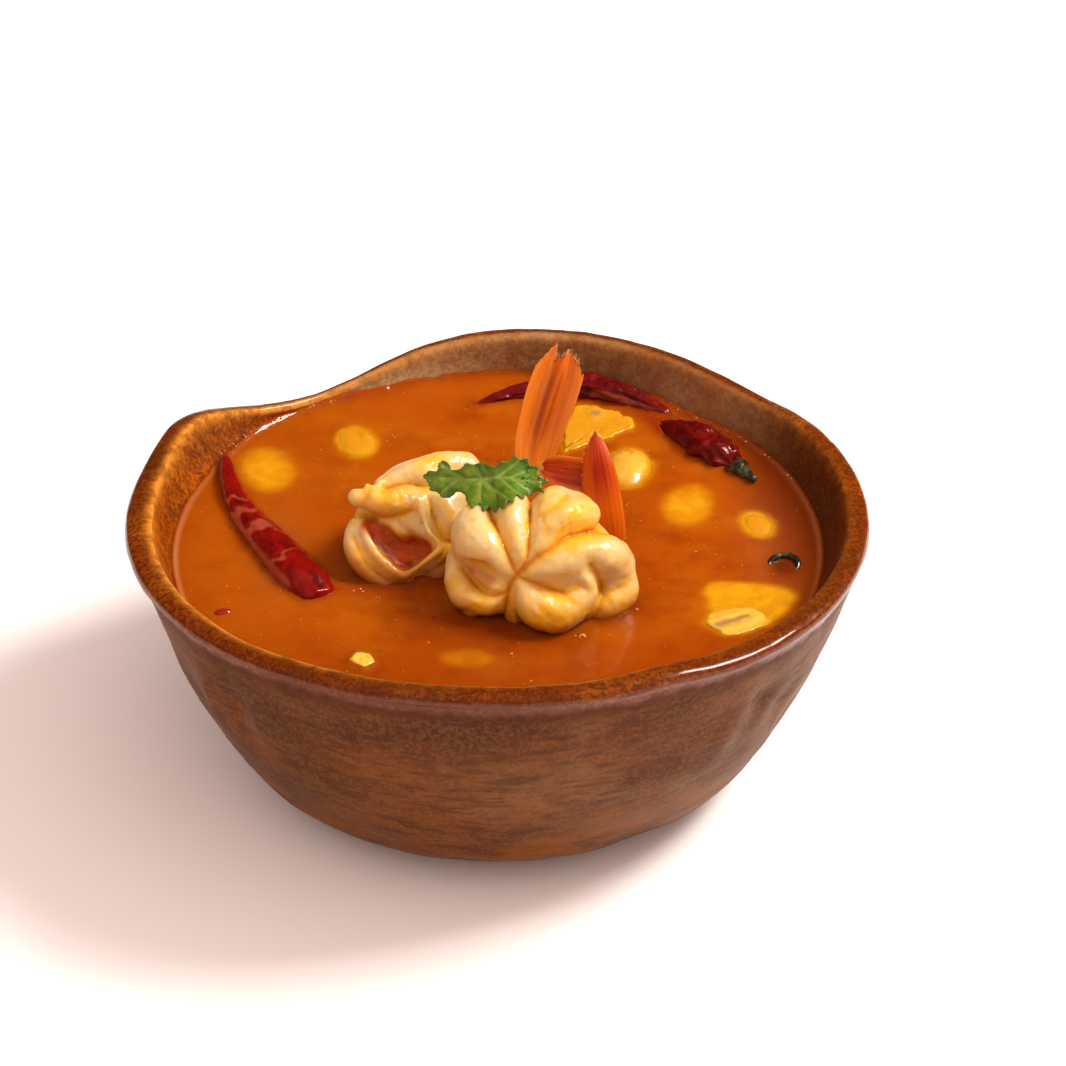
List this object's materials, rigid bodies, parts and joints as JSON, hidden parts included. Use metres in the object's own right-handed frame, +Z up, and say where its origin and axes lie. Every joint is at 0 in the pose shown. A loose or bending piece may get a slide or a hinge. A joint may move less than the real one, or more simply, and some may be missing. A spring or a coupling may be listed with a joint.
{
  "type": "bowl of tom yum soup",
  "caption": "Hand-built stoneware bowl of red tom yum broth with curled prawns, a coriander leaf, dried chillies and straw mushrooms.",
  "frame": {"origin": "centre of the bowl's flat foot, on the surface it stands on", "axes": "+Z up out of the bowl; +Y towards the rear rim; +X to the right as seen from the front"},
  "size_m": [0.159, 0.1521, 0.0884],
  "materials": {
    "stoneware_glaze": "speckled brown and amber glaze, satin outside and glossy on the rim",
    "broth": "cloudy orange-brown liquid with a glossy surface",
    "prawn_meat": "wet cooked ivory flesh tinted yellow-orange by the broth",
    "tail_shell_orange": "thin translucent orange shell",
    "tail_shell_red": "thin streaked red-orange shell",
    "coriander": "moist mid-green leaf with paler veins",
    "dried_chilli": "wrinkled glossy dark red skin",
    "chilli_stalk": "dark green-black, wet",
    "mushroom": "wet cream mushroom stained yellow by the broth",
    "galangal": "pale fibrous root chip"
  },
  "bodies": {
    "root": {"bowl": "stoneware_glaze", "soup": "broth", "prawn_left": "prawn_meat", "prawn_right": "prawn_meat", "prawn_left_tail": "tail_shell_orange", "prawn_right_tail": "tail_shell_red", "coriander_leaf": "coriander", "chilli_left": "dried_chilli", "chilli_rear": "dried_chilli", "chilli_right": "dried_chilli", "chilli_right_cap": "chilli_stalk", "mushroom_rear_left": "mushroom", "mushroom_rear_right": "mushroom", "mushroom_right": "mushroom", "mushroom_wedge": "mushroom", "mushroom_slice": "mushroom", "galangal_chip": "galangal"}
  },
  "joints": []
}
